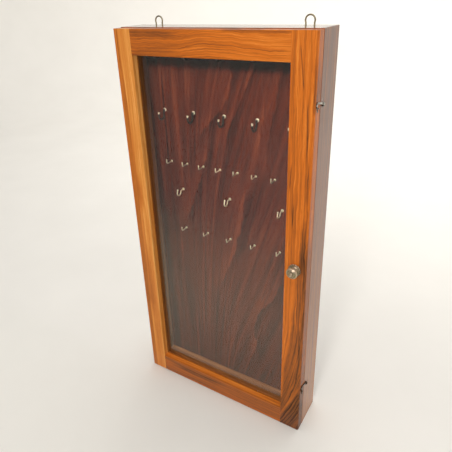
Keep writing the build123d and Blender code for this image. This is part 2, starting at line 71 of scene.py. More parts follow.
# Floor and backdrop: one seamless pale sheet, flat under the cabinet and curved up far around
# it. It is matt painted card, a little mottled.
floor_inner_radius = 0.6
floor_flat_radius = 2.6
floor_bend_radius = 1.2
backdrop_height = 3.2
floor_pale = (0.88, 0.86, 0.82)
floor_dull = (0.85, 0.83, 0.79)
floor_sides = 96
mottle_per_mm = 0.004
weld_distance = 0.0001 * mm


class Finish:
    """The finish of one surface: its shader, and the steps that give it colour, gloss and relief."""

    def __init__(self, name, **values):
        self.material = bpy.data.materials.new(name)
        self.material.use_nodes = True
        self.tree = self.material.node_tree
        self.shader = self.tree.nodes["Principled BSDF"]
        for socket, value in values.items():
            self.shader.inputs[socket.replace("_", " ")].default_value = value

    def give(self, socket, value):
        """Joins a step's result, or sets a plain number or colour."""
        if isinstance(value, bpy.types.NodeSocket):
            self.tree.links.new(value, socket)
        else:
            socket.default_value = value

    def step(self, kind, **settings):
        """Adds one node."""
        node = self.tree.nodes.new("ShaderNode" + kind)
        for name, value in settings.items():
            setattr(node, name, value)
        return node

    def maths(self, operation, first, second=0.0, third=0.0):
        """The result of one sum on up to three values."""
        node = self.step("Math", operation=operation)
        for socket, value in zip(node.inputs, (first, second, third)):
            self.give(socket, value)
        return node.outputs[0]

    def plus(self, *values):
        """The sum of several values."""
        total = values[0]
        for value in values[1:]:
            total = self.maths("ADD", total, value)
        return total

    def times(self, *values):
        """The product of several values."""
        total = values[0]
        for value in values[1:]:
            total = self.maths("MULTIPLY", total, value)
        return total

    def places(self):
        """X, Y and Z of a point on the piece, in millimetres."""
        scaled = self.step("VectorMath", operation="SCALE")
        self.give(scaled.inputs[0], self.step("TexCoord").outputs["Object"])
        self.give(scaled.inputs["Scale"], 1000.0)
        split = self.step("SeparateXYZ")
        self.give(split.inputs[0], scaled.outputs[0])
        return split.outputs

    def joined(self, x, y, z):
        """A vector from its three parts."""
        node = self.step("CombineXYZ")
        for socket, value in zip(node.inputs, (x, y, z)):
            self.give(socket, value)
        return node.outputs[0]

    def cloud(self, x, y, z, detail=2.0, roughness=0.5):
        """Soft random variation from 0 to 1, about one swell for each unit of x, y and z."""
        node = self.step("TexNoise")
        self.give(node.inputs["Vector"], self.joined(x, y, z))
        for name, value in {"Scale": 1.0, "Detail": detail, "Roughness": roughness}.items():
            self.give(node.inputs[name], value)
        return node.outputs["Fac"]

    def spread(self, value, low, high, to_low=0.0, to_high=1.0, way="SMOOTHSTEP"):
        """Spreads a value between low and high over another range, and stops at its ends."""
        node = self.step("MapRange", interpolation_type=way)
        for socket, given in zip(node.inputs, (value, low, high, to_low, to_high)):
            self.give(socket, given)
        return node.outputs[0]

    def near(self, value, places, width):
        """1 where a value is at one of the places, falling to 0 over a width at each side."""
        gap = None
        for place in places:
            this = self.maths("ABSOLUTE", self.maths("SUBTRACT", value, place))
            gap = this if gap is None else self.maths("MINIMUM", gap, this)
        return self.spread(gap, 0, width, 1, 0)

    def tones(self, value, *stops):
        """A colour for each value. Each stop is a place from 0 to 1 and a colour."""
        node = self.step("ValToRGB")
        elements = node.color_ramp.elements
        while len(elements) < len(stops):
            elements.new(0.5)
        for element, (place, colour) in zip(elements, stops):
            element.position = place
            element.color = (*colour, 1)
        self.give(node.inputs[0], value)
        return node.outputs[0]

    def over(self, amount, base, top):
        """Lays one colour over another."""
        node = self.step("Mix", data_type="RGBA")
        sockets = (node.inputs[0], node.inputs[6], node.inputs[7])
        for socket, value in zip(sockets, (amount, base, top)):
            if isinstance(value, tuple):
                value = (*value, 1)
            self.give(socket, value)
        return node.outputs[2]

    def relief(self, height, depth, strength):
        """Bumps the surface by a height from 0 to 1, of depth metres."""
        node = self.step("Bump")
        self.give(node.inputs["Height"], height)
        node.inputs["Distance"].default_value = depth
        node.inputs["Strength"].default_value = strength
        self.give(self.shader.inputs["Normal"], node.outputs[0])

    def colour(self, value):
        self.give(self.shader.inputs["Base Color"], value)

    def roughness(self, value):
        self.give(self.shader.inputs["Roughness"], value)


def turn(mesh, outline, sides, place=Matrix(), carve=None, ring=False):
    """Turns an outline of (radius, height) pairs round an axis. carve changes a pair at an angle."""
    loops = []
    for radius, height in outline:
        if radius == 0:
            loops.append([mesh.verts.new(place @ Vector((0, 0, height)))])
            continue
        loop = []
        for side in range(sides):
            angle = 2 * pi * side / sides
            out, up = carve(angle, radius, height) if carve else (radius, height)
            point = Vector((out * cos(angle), out * sin(angle), up))
            loop.append(mesh.verts.new(place @ point))
        loops.append(loop)
    pairs = list(zip(loops, loops[1:]))
    if ring:
        pairs.append((loops[-1], loops[0]))
    for low, high in pairs:
        for side in range(sides):
            steps = (side, (side + 1) % sides)
            corners = [low[step % len(low)] for step in steps]
            corners += [high[step % len(high)] for step in reversed(steps)]
            mesh.faces.new(list(dict.fromkeys(corners)))


def round_stretch(middle, radius, start, end, steps):
    """Points on part of a circle. middle is a pair, and the angles are in degrees."""
    angles = [radians(start + (end - start) * step / steps) for step in range(steps + 1)]
    return [(middle[0] + radius * cos(angle), middle[1] + radius * sin(angle)) for angle in angles]


def made_object(name, mesh, finish, crease=35):
    """An object from a mesh, smooth but for its creases."""
    bmesh.ops.remove_doubles(mesh, verts=mesh.verts, dist=weld_distance)
    bmesh.ops.recalc_face_normals(mesh, faces=mesh.faces)
    for face in mesh.faces:
        face.smooth = True
    for edge in mesh.edges:
        edge.smooth = len(edge.link_faces) == 2 and edge.calc_face_angle() < radians(crease)
    data = bpy.data.meshes.new(name)
    mesh.to_mesh(data)
    mesh.free()
    data.materials.append(finish.material)
    made = bpy.data.objects.new(name, data)
    bpy.context.scene.collection.objects.link(made)
    return made


card = Finish("pale_card", Roughness=0.7)
mottle = card.cloud(*[card.times(place, mottle_per_mm) for place in card.places()], detail=4)
card.colour(card.tones(mottle, (0.3, floor_dull), (0.7, floor_pale)))
sheet = bmesh.new()
bend = round_stretch((floor_flat_radius, floor_bend_radius), floor_bend_radius, -90, 0, 12)
backdrop_radius = floor_flat_radius + floor_bend_radius
outline = [(0, 0), (floor_inner_radius, 0)] + bend + [(backdrop_radius, backdrop_height)]
turn(sheet, outline, floor_sides)
floor = made_object("floor", sheet, card, crease=60)


# Light: a soft pale sky that is brightest overhead and behind the cabinet. One lamp in front is
# small enough to shade the wood under the top rail, and another whitens the backdrop.
sky_colour = (1.0, 0.995, 0.985)
sky_front = 0.31
sky_back = 0.80
sky_top = 0.80
sky_front_to_back = (-0.4, 0.6)
sky_low_to_high = (0.3, 0.9)
lamps = {
    "front_lamp": {"place": (0.35, -1.65, 1.29), "target": (0.0, 0.0, 0.45), "size": 0.30, "watts": 13},
    "backdrop_lamp": {"place": (0.0, 1.30, 2.60), "target": (0.0, 3.8, 0.9), "size": 1.6, "watts": 60},
}
lamp_colour = (1.0, 0.975, 0.94)

world = bpy.data.worlds.new("sky")
bpy.context.scene.world = world
world.use_nodes = True
sky = world.node_tree
background = sky.nodes["Background"]
split = sky.nodes.new("ShaderNodeSeparateXYZ")
sky.links.new(sky.nodes.new("ShaderNodeTexCoord").outputs["Generated"], split.inputs[0])
level = sky.nodes.new("ShaderNodeMapRange")
for socket, value in zip(level.inputs[1:], (*sky_front_to_back, sky_front, sky_back)):
    socket.default_value = value
sky.links.new(split.outputs["Y"], level.inputs[0])
overhead = sky.nodes.new("ShaderNodeMapRange")
for socket, value in zip(overhead.inputs[1:3], sky_low_to_high):
    socket.default_value = value
overhead.inputs[4].default_value = sky_top
sky.links.new(split.outputs["Z"], overhead.inputs[0])
sky.links.new(level.outputs[0], overhead.inputs[3])
background.inputs[0].default_value = (*sky_colour, 1)
sky.links.new(overhead.outputs[0], background.inputs[1])
bpy.context.scene.view_settings.view_transform = "Standard"

for lamp_name, given in lamps.items():
    lamp = bpy.data.objects.new(lamp_name, bpy.data.lights.new(lamp_name, "AREA"))
    bpy.context.scene.collection.objects.link(lamp)
    lamp.location = given["place"]
    lamp.rotation_mode = "QUATERNION"
    aim = Vector(given["target"]) - Vector(given["place"])
    lamp.rotation_quaternion = aim.to_track_quat("-Z", "Y")
    lamp.data.size = given["size"]
    lamp.data.energy = given["watts"]
    lamp.data.color = lamp_colour


# Grey card: lies in front of the cabinet and curves up at its far side. It is pale in the
# middle, dimmer beside the cabinet and dark far off, which keeps the upper glass dark. It shows
# in reflections alone, glows a little by itself and lights nothing.
card_ends = (-3.0, 1.2)
card_lift = 0.002
card_near = -0.08
card_far = -1.5
card_bend = 0.4
card_top = 1.1
card_near_grey = (0.34, 0.40, 0.27)
card_middle_grey = (0.57, 0.68, 0.47)
card_far_grey = (0.06, 0.05, 0.04)
card_fade_start = -0.30
card_fade_end = -0.95

grey = Finish("grey_card", Roughness=1.0, Specular_IOR_Level=0.0, Emission_Strength=1.0)
grey.colour((0, 0, 0, 1))
grey.material.cycles.emission_sampling = "NONE"
away = grey.places()["Y"]
fade = grey.spread(away, card_fade_start / mm, card_fade_end / mm)
glow = grey.tones(fade, (0.0, card_middle_grey), (1.0, card_far_grey))
nearness = grey.spread(away, card_fade_start / mm, card_near / mm)
glow = grey.over(nearness, glow, card_near_grey)
grey.give(grey.shader.inputs["Emission Color"], glow)
bend = round_stretch((card_far + card_bend, card_lift + card_bend), card_bend, 270, 180, 8)
profile = [(card_near, card_lift)] + bend + [(card_far, card_top)]
sheet = bmesh.new()
rows = [[sheet.verts.new((end, away, height)) for end in card_ends] for away, height in profile]
for first, second in zip(rows, rows[1:]):
    sheet.faces.new([first[0], first[1], second[1], second[0]])
reflected_card = made_object("grey_card", sheet, grey)
for rays in ("camera", "diffuse", "transmission", "volume_scatter", "shadow"):
    setattr(reflected_card, "visible_" + rays, False)


# Case: side boards of brown hardwood that run full height, with the top and bottom boards
# housed in rebates cut in them. All four are planed smooth and lacquered to a high gloss.
case_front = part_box("left_side")[0].y / mm
case_tones = (
    (0.00, (0.050, 0.016, 0.008)),
    (0.35, (0.150, 0.050, 0.021)),
    (0.65, (0.275, 0.100, 0.038)),
    (1.00, (0.470, 0.190, 0.062)),
)
case_shade = 0.46
foot_shade = 0.36
paler_below = 620
palest_at = 30
edge_orange = (0.40, 0.085, 0.022)
edge_width = 2.0
edge_wear = 0.9
wear_per_mm = 0.02
wear_range = (0.38, 0.62)
case_gloss = {
    "Roughness": 0.45, "IOR": 1.5, "Specular_IOR_Level": 0.10, "Coat_Weight": 0.68, "Coat_Roughness": 0.12}
top_board_coat = 1.0
bands_along = 0.0035
fibres_across = 0.5
fibres_along = 0.012
pores_across = 1.3
pores_along = 0.05
pore_range = (0.60, 0.66)
pore_shade = -0.13
fibre_height = 0.4
pore_height = -0.8
grain_depth = 0.012 * mm
grain_strength = 0.25
wood_roughness = (0.38, 0.52)


class Wood(Finish):
    """Lacquered wood, whose grain runs along one axis of the cabinet."""

    def __init__(self, name, across, along, gloss):
        super().__init__(name, **gloss)
        self.x, self.y, self.z = self.places()
        named = {"X": self.x, "Y": self.y, "Z": self.z}
        self.across = named.pop(across)
        self.along = named.pop(along)
        self.depth = named.popitem()[1]

    def swing(self, value, reach):
        """Turns 0 to 1 into minus reach to plus reach."""
        return self.maths("MULTIPLY_ADD", value, 2 * reach, -reach)

    def line(self, points):
        """Where a line lies across the board at each place along it. Points are (along, across)."""
        total = points[0][1]
        for (start, low), (end, high) in zip(points, points[1:]):
            total = self.plus(total, self.spread(self.along, start, end, 0, high - low, "LINEAR"))
        return total

    def window(self, value, start, end, fade):
        """1 between start and end, falling to 0 over the fade at each end."""
        return self.times(
            self.spread(value, start - fade / 2, start + fade / 2),
            self.spread(value, end - fade / 2, end + fade / 2, 1, 0),
        )

    def streaks(self, across, *lines):
        """Shade along lines in the grain. Each is its points, width, fade at the ends, and shade."""
        shades = []
        for points, width, fade, shade in lines:
            gap = self.maths("ABSOLUTE", self.maths("SUBTRACT", across, self.line(points)))
            body = self.spread(gap, 0.25 * width, width, 1, 0)
            between = self.window(self.along, points[0][0], points[-1][0], fade)
            shades.append(self.times(body, between, shade))
        return self.plus(*shades)

    def wandering(self, amount, seed=0.0):
        """Places across the board, pushed to and fro by slow waves in the grain."""
        waves = self.cloud(
            self.plus(self.times(self.across, 0.02), seed), self.times(self.depth, 0.02),
            self.times(self.along, 0.006), detail=1)
        return self.plus(self.across, self.swing(waves, amount))

    def grain(self, across, bands_across, band_shade, fibre_shade, seed=0.0):
        """Shade from growth bands, fibres and pores, around 0. It also sets the relief and the gloss."""
        bands = self.cloud(
            self.plus(self.times(across, bands_across), seed), self.times(self.depth, bands_across),
            self.times(self.along, bands_along), detail=4, roughness=0.62)
        fibres = self.cloud(
            self.plus(self.times(across, fibres_across), seed), self.times(self.depth, fibres_across),
            self.times(self.along, fibres_along), detail=5, roughness=0.75)
        pores = self.cloud(
            self.times(across, pores_across), self.times(self.depth, pores_across),
            self.times(self.along, pores_along), detail=1)
        open_pores = self.spread(pores, *pore_range)
        height = self.plus(self.times(fibres, fibre_height), self.times(open_pores, pore_height))
        self.relief(height, grain_depth, grain_strength)
        self.roughness(self.spread(bands, 0.3, 0.7, *wood_roughness))
        return self.plus(
            self.swing(bands, band_shade), self.swing(fibres, fibre_shade),
            self.times(open_pores, pore_shade))


def dress(node_name, finish):
    """Puts a finish on a piece that comes from the frame."""
    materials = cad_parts[node_name].data.materials
    materials.clear()
    materials.append(finish.material)


for node_name, across, along, seed in (
    ("left_side", "Y", "Z", 3.0),
    ("right_side", "Y", "Z", 11.0),
    ("top_board", "Y", "X", 19.0),
    ("bottom_board", "Y", "X", 27.0),
):
    board = Wood(node_name + "_lacquer", across, along, case_gloss)
    if node_name == "top_board":
        board.shader.inputs["Coat Weight"].default_value = top_board_coat
    grain = board.grain(
        board.wandering(5.0, seed), bands_across=0.22, band_shade=0.55, fibre_shade=0.30, seed=seed)
    paler_foot = board.spread(board.z, palest_at, paler_below, foot_shade, 0, "LINEAR")
    tone = board.tones(board.plus(case_shade, paler_foot, grain), *case_tones)
    edge = board.near(board.y, (case_front,), edge_width)
    wear = board.cloud(board.times(board.along, wear_per_mm), seed, 0.0, detail=3)
    rubbed = board.times(edge, board.spread(wear, *wear_range), edge_wear)
    board.colour(board.over(rubbed, tone, edge_orange))
    dress(node_name, board)


# Back panel: thick board faced with dark red figured veneer, held in the case's rebate by
# brads. The veneer's flame has jagged edges that climb to the right. A strip behind the top
# rail is painted almost black as painted shadow of the top rail.
panel_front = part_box("back_panel")[0].y / mm
veneer_depth = 1.0
panel_tones = (
    (0.00, (0.008, 0.004, 0.003)),
    (0.30, (0.044, 0.008, 0.005)),
    (0.60, (0.104, 0.018, 0.008)),
    (1.00, (0.230, 0.052, 0.019)),
)
panel_shade = 0.54
# Painted shadow: the veneer's face is darkened to near black in this band under the top rail.
painted_shadow_strip = (683, 698)
painted_shadow_darkening = -0.50
browner_middle = (340, 620)
browner_fade = 100
browner_shade = -0.06
flame_edges = (
    [(565, -62), (597, -35), (620, -9), (645, 3), (683, 10), (706, 13)],
    [(560, -6), (597, 6), (617, 20), (648, 31), (677, 46), (706, 58)],
    [(560, 61), (590, 66), (643, 75), (684, 82), (706, 88)],
    [(540, 76), (574, 80), (634, 92), (687, 101), (706, 106)],
    [(380, -104), (425, -84), (494, -61), (537, -45)],
    [(230, -28), (250, -23), (348, 16), (468, 36)],
    [(90, 64), (98, 61), (148, 54), (198, 61), (248, 96), (290, 112)],
)
flame_shade = 0.16
flame_fade = 50
flame_light_reach = 34
flame_dark_reach = 24
flame_edge_width = 1.2
jags_across = 0.10
jags_along = 0.035
jag_reach = 13
leaning_part = (-120, 10)
most_lean = 0.30
lean_height = 620
dark_knot = ([(500, -141), (628, -139.5), (673, -139.5)], 4, 60, -0.45)
red_side = ([(520, -141), (690, -139)], 15, 60, 0.14)
panel_gloss = {"Roughness": 0.55, "IOR": 1.5, "Specular_IOR_Level": 0.06, "Coat_Weight": 0.04}

panel = Wood("panel_veneer", "X", "Z", panel_gloss)
lean = panel.spread(panel.x, *leaning_part, 0, most_lean)
leaned = panel.maths("SUBTRACT", panel.x, panel.times(lean, panel.plus(panel.z, -lean_height)))
grain = panel.grain(leaned, bands_across=0.085, band_shade=0.62, fibre_shade=0.26)
jags = panel.cloud(
    panel.times(panel.x, jags_across), 0.0, panel.times(panel.z, jags_along), detail=5, roughness=0.75)
jagged = panel.plus(panel.x, panel.swing(jags, jag_reach))
flames = []
for edge in flame_edges:
    gap = panel.maths("SUBTRACT", jagged, panel.line(edge))
    crossed = panel.spread(gap, -1, flame_edge_width)
    light_side = panel.times(
        panel.spread(gap, -flame_light_reach, -1), panel.maths("SUBTRACT", 1, crossed))
    dark_side = panel.times(crossed, panel.spread(gap, flame_edge_width, flame_dark_reach, 1, 0))
    contrast = panel.maths("SUBTRACT", light_side, dark_side)
    flames.append(panel.times(contrast, panel.window(panel.z, edge[0][0], edge[-1][0], flame_fade)))
face = panel.spread(panel.y, panel_front, panel_front + veneer_depth, 1, 0)
# The last term is painted shadow: the band under the top rail darkened to near black.
shade = panel.plus(
    panel_shade, grain, panel.times(panel.plus(*flames), flame_shade),
    panel.streaks(panel.wandering(3.0), dark_knot), panel.streaks(panel.wandering(6.0), red_side),
    panel.times(panel.window(panel.z, *browner_middle, browner_fade), browner_shade),
    panel.times(panel.spread(panel.z, *painted_shadow_strip), face, painted_shadow_darkening))
panel.colour(panel.tones(shade, *panel_tones))
dress("back_panel", panel)


# Door: four pieces of lacquered hardwood with stub tenons, each cut from another board. The
# left stile is honey-coloured with an orange strip down its outer side.
door_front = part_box("left_stile")[0].y / mm
left_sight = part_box("left_stile")[1].x / mm
door_gloss = {
    "Roughness": 0.45, "IOR": 1.5, "Specular_IOR_Level": 0.10, "Coat_Weight": 0.34, "Coat_Roughness": 0.12}
honey_tones = (
    (0.00, (0.130, 0.038, 0.009)),
    (0.30, (0.400, 0.110, 0.016)),
    (0.60, (0.580, 0.180, 0.028)),
    (0.85, (0.700, 0.275, 0.054)),
    (1.00, (0.820, 0.400, 0.110)),
)
strip_shade = 0.50
honey_shade = 0.32
orange_strip_edge = [
    (0, -174.5), (180, -174.5), (200, -171.5), (305, -171.5), (420, -170.5), (460, -168.5),
    (560, -168.5), (700, -174.5), (760, -175.5)]
orange_smears = (
    ([(425, -164), (480, -165)], 9, 40, -0.26),
    ([(170, -166), (315, -165)], 9, 70, -0.26),
)
dark_line = ([(690, -178), (760, -178)], 1.2, 12, -0.3)

stile = Wood("left_stile_lacquer", "X", "Z", door_gloss)
waved = stile.wandering(2.0)
grain = stile.grain(waved, bands_across=0.24, band_shade=0.42, fibre_shade=0.36)
honey = stile.spread(stile.maths("SUBTRACT", waved, stile.line(orange_strip_edge)), -2.0, 1.5)
# Painted highlight: a paler band along the left stile's sight edge and its inner face.
painted_edge_highlight = stile.near(stile.x, (left_sight,), 2.5)
darker_foot = stile.spread(stile.z, 0, 650, 1, 0)
shade = stile.plus(
    strip_shade, grain, stile.times(honey, honey_shade), stile.times(painted_edge_highlight, 0.10),
    stile.times(darker_foot, -0.14), stile.streaks(waved, *orange_smears),
    stile.streaks(stile.x, dark_line))
stile.colour(stile.tones(shade, *honey_tones))
dress("left_stile", stile)


# Rails: orange-brown hardwood with its grain across. The upper one has an arched figure, and
# the lower one is browner, with a dark lens in it.
rail_tones = (
    (0.00, (0.055, 0.017, 0.007)),
    (0.25, (0.180, 0.058, 0.016)),
    (0.50, (0.390, 0.103, 0.015)),
    (0.75, (0.610, 0.152, 0.014)),
    (1.00, (0.790, 0.262, 0.038)),
)
low_rail_shade = 0.46
arch_height = 6.0
arch_middle = 5
top_rail_streaks = (
    ([(-45, 730), (-10, 732), (15, 731.5), (139, 731)], 1.0, 20, -0.30),
    ([(-150, 753), (-60, 751)], 6, 30, -0.20),
    ([(35, 753), (95, 755), (146, 756)], 3.5, 20, -0.28),
    ([(-150, 722), (-110, 724), (-60, 727)], 9, 40, -0.10),
)
dark_lens = ([(-115, 29), (-60, 28), (-5, 30)], 8, 60, -0.20)
bottom_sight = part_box("bottom_rail")[1].z / mm

top = Wood("top_rail_lacquer", "Z", "X", door_gloss)
arch = top.times(
    top.spread(top.x, -60, arch_middle), top.spread(top.x, arch_middle, 130, 1, 0), -arch_height)
ripple = top.cloud(top.times(top.x, 0.05), top.times(top.z, 0.02), 3.0, detail=2)
arched = top.plus(top.z, arch, top.swing(ripple, 2.5))
grain = top.grain(arched, bands_across=0.50, band_shade=0.46, fibre_shade=0.46)
paler_right = top.spread(top.x, -150, 140, 0.55, 0.80)
shade = top.plus(paler_right, grain, top.streaks(arched, *top_rail_streaks))
top.colour(top.tones(shade, *rail_tones))
dress("top_rail", top)

low = Wood("bottom_rail_lacquer", "Z", "X", door_gloss)
waved = low.wandering(1.5, 5.0)
grain = low.grain(waved, bands_across=0.34, band_shade=0.40, fibre_shade=0.40, seed=5.0)
# Painted highlight: a paler band along the bottom rail's sight edge.
painted_edge_highlight = low.near(low.z, (bottom_sight,), 1.5)
# Painted light: the faces behind the rail's front, its top edge among them, are coloured paler as if lit
# from above.
painted_light_ledge = low.spread(low.y, door_front + 1, door_front + 4)
shade = low.plus(
    low_rail_shade, grain, low.times(painted_edge_highlight, 0.12), low.times(painted_light_ledge, 0.22),
    low.streaks(waved, dark_lens))
low.colour(low.tones(shade, *rail_tones))
dress("bottom_rail", low)


# Right stile: the same orange-brown hardwood with narrow dark streaks above. Below, brown
# heartwood leans across to the lower left, more and more towards the foot.
right_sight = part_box("right_stile")[0].x / mm
lean_start = 300
lean_reach = 66
lean_power = 2.3
heartwood_shade = -0.27
darker_foot_shade = -0.14
lowest_shade = -0.09
heartwood_edge = [(50, 172), (75, 182), (150, 164), (275, 165), (400, 170), (460, 174)]
leaning_streaks = (
    ([(70, 192), (130, 186), (185, 183)], 2.0, 30, 0.17),
    ([(245, 174), (265, 171), (300, 170)], 1.8, 24, 0.17),
    ([(250, 180), (320, 182)], 2.6, 30, 0.17),
    ([(58, 201), (114, 204)], 4.5, 24, 0.221),
    ([(10, 219), (70, 217)], 1.8, 24, 0.119),
    ([(10, 209), (40, 206), (102, 210)], 2.6, 24, -0.22),
    ([(130, 194), (245, 179)], 2.2, 40, -0.22),
    ([(190, 168), (300, 167)], 1.6, 40, -0.176),
    ([(15, 228), (60, 224)], 3.0, 24, -0.176),
    ([(70, 198), (150, 192)], 1.6, 30, -0.176),
)
upright_streaks = (
    ([(682, 166.75), (737, 160.5)], 1.8, 14, -0.32),
    ([(547, 180.5), (585, 176.75), (660, 174)], 1.6, 24, -0.32),
    ([(525, 150.5), (560, 152)], 1.5, 16, -0.32),
    ([(460, 157.5), (495, 158)], 1.5, 16, -0.32),
    ([(655, 184.5), (715, 183)], 3.5, 30, -0.32),
    ([(505, 180), (550, 179)], 5, 20, -0.224),
)
broad_streak = ([(380, 178), (465, 177)], 7, 40, -0.256)

stile = Wood("right_stile_lacquer", "X", "Z", door_gloss)
down = stile.spread(stile.z, 0, lean_start, 1, 0, "LINEAR")
leaning = stile.times(stile.maths("POWER", down, lean_power), lean_reach)
wobble = stile.cloud(stile.times(stile.x, 0.08), stile.times(stile.z, 0.03), 4.0, detail=2)
upright = stile.plus(stile.x, stile.swing(wobble, 2.5))
swept = stile.plus(upright, leaning)
heartwood = stile.times(
    stile.spread(stile.maths("SUBTRACT", swept, stile.line(heartwood_edge)), -2, 3),
    stile.spread(stile.z, 385, 465, 1, 0))
darker_foot = stile.times(stile.spread(swept, 209, 214), stile.spread(stile.z, 105, 125, 1, 0))
lowest = stile.spread(stile.z, 40, 200, 1, 0)
# Painted highlight: a paler band along the right stile's sight edge.
painted_edge_highlight = stile.near(stile.x, (right_sight,), 2.0)
paler_top = stile.spread(stile.z, 380, 740, 0.67, 0.71)
grain = stile.grain(swept, bands_across=0.32, band_shade=0.52, fibre_shade=0.46, seed=7.0)
shade = stile.plus(
    paler_top, grain, stile.times(heartwood, heartwood_shade),
    stile.times(darker_foot, darker_foot_shade), stile.times(lowest, lowest_shade),
    stile.times(painted_edge_highlight, 0.08), stile.streaks(swept, *leaning_streaks),
    stile.streaks(stile.x, *upright_streaks), stile.streaks(upright, broad_streak))
stile.colour(stile.tones(shade, *rail_tones))
dress("right_stile", stile)


# Glazing beads: thin strips of the same orange-brown wood, mitred at the corners, that
# hold the glass from behind. Small brads pin them to the frame.
for node_name, across, along in (
    ("bead_top", "Z", "X"),
    ("bead_bottom", "Z", "X"),
    ("bead_left", "X", "Z"),
    ("bead_right", "X", "Z"),
):
    bead = Wood(node_name + "_lacquer", across, along, door_gloss)
    grain = bead.grain(bead.wandering(1.0), bands_across=0.3, band_shade=0.30, fibre_shade=0.14)
    bead.colour(bead.tones(bead.plus(0.5, grain), *rail_tones))
    dress(node_name, bead)


# Glass: one pane of clear 2 mm drawn glass, lying in the door's rebate. It has the faint waves
# of old glass, and lets the lamps' light through to the panel.
glass_tint = (0.97, 0.985, 0.98)
glass_wave_depth = 0.4 * mm

glass = Finish("clear_glass", Roughness=0.0, IOR=1.5, Transmission_Weight=1.0)
glass.colour((*glass_tint, 1))
x, y, z = glass.places()
waves = glass.cloud(glass.times(x, 0.012), glass.times(y, 0.012), glass.times(z, 0.02), detail=1)
glass.relief(waves, glass_wave_depth, 0.5)
output = glass.tree.nodes["Material Output"]
pass_light = glass.step("BsdfTransparent")
either = glass.step("MixShader")
glass.give(either.inputs[0], glass.step("LightPath").outputs["Is Shadow Ray"])
glass.give(either.inputs[1], glass.shader.outputs[0])
glass.give(either.inputs[2], pass_light.outputs[0])
glass.give(output.inputs["Surface"], either.outputs[0])
dress("glass_pane", glass)


# Brads: square cut steel nails with a dull grey skin, driven through the back panel and
# through the beads.
scratches_per_mm = 3.0
scratch_depth = 0.03 * mm


def metal(name, bright, tarnish, smooth, rough, spots_per_mm, metallic=1.0):
    """Worn metal: bright where it is rubbed, tarnished in patches."""
    finish = Finish(name, Metallic=metallic)
    places = finish.places()
    spots = finish.cloud(*[finish.times(place, spots_per_mm) for place in places], detail=4, roughness=0.6)
    finish.colour(finish.tones(spots, (0.36, tarnish), (0.58, bright)))
    finish.roughness(finish.spread(spots, 0.35, 0.65, rough, smooth))
    scratches = finish.cloud(*[finish.times(place, scratches_per_mm) for place in places], detail=2)
    finish.relief(scratches, scratch_depth, 0.4)
    return finish


dull_steel = metal(
    "dull_steel", bright=(0.42, 0.41, 0.39), tarnish=(0.20, 0.17, 0.14), smooth=0.28, rough=0.5,
    spots_per_mm=0.9)
for node_name in ("back_panel_brads", "bead_brads"):
    dress(node_name, dull_steel)


# Hanging loops: horseshoes of 2.5 mm brass wire, gone greenish grey, with both legs driven
# through the top board into the back panel.
loop_wire = 1.25 * mm
loop_crown_radius = 7.6 * mm
loop_foot_half = 6.9 * mm
loop_crown_ends = (205, -25)
loop_leg = 16 * mm
case_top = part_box("top_board")[1].z


def draw_wire(mesh, points, radii, sides=20):
    """A round wire through points that lie in one plane, with a radius at each and closed ends."""
    across = None
    loops = []
    for index, (point, radius) in enumerate(zip(points, radii)):
        along = (points[min(index + 1, len(points) - 1)] - points[max(index - 1, 0)]).normalized()
        across = along.orthogonal() if across is None else across
        across = (across - along * across.dot(along)).normalized()
        up = along.cross(across)
        angles = [2 * pi * side / sides for side in range(sides)]
        skin = [point + radius * (cos(angle) * across + sin(angle) * up) for angle in angles]
        loops.append([mesh.verts.new(place) for place in skin])
    for low, high in zip(loops, loops[1:]):
        for side in range(sides):
            following = (side + 1) % sides
            mesh.faces.new([low[side], low[following], high[following], high[side]])
    mesh.faces.new(loops[0])
    mesh.faces.new(loops[-1])


aged_brass = metal(
    "aged_brass", bright=(0.40, 0.33, 0.20), tarnish=(0.20, 0.17, 0.11), smooth=0.32, rough=0.55,
    spots_per_mm=0.5)
for node_name in ("left_hanging_loop", "right_hanging_loop"):
    lowest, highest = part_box(node_name)
    middle = (lowest + highest) / 2
    crown_middle = (middle.x, highest.z - loop_wire - loop_crown_radius)
    crown = round_stretch(crown_middle, loop_crown_radius, *loop_crown_ends, 32)
    left_leg = [(middle.x - loop_foot_half, case_top - loop_leg), (middle.x - loop_foot_half, case_top)]
    right_leg = [(middle.x + loop_foot_half, case_top), (middle.x + loop_foot_half, case_top - loop_leg)]
    points = [Vector((x, middle.y, z)) for x, z in left_leg + crown + right_leg]
    mesh = bmesh.new()
    draw_wire(mesh, points, [loop_wire] * len(points))
    loop = made_object("bent_" + node_name, mesh, aged_brass)
    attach(loop, "case")
    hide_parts(node_name)


# Hooks: three kinds of bought screw hook, each with a pointed shank in the panel and a collar
# against it. The large cup hooks are bronzed, with brass collars and tips whose bright colour is
# also a painted highlight where they catch the light. The rest are brass.
point_length = 2.5
point_radius = 0.15
collar_profile = ((0.0, 1.0), (0.45, 1.0), (0.8, 0.9), (1.0, 0.55))
plain_tip = ((0.5, 0.86), (0.8, 0.45))
ball_ends = (-44, 84)
ball_rise = 0.7
hook_sides = 24


def bent(*stretches):
    """Joins straight points and round stretches of a hook, in millimetres of reach and height."""
    route = []
    for stretch in stretches:
        route += stretch if isinstance(stretch, list) else [stretch]
    return route


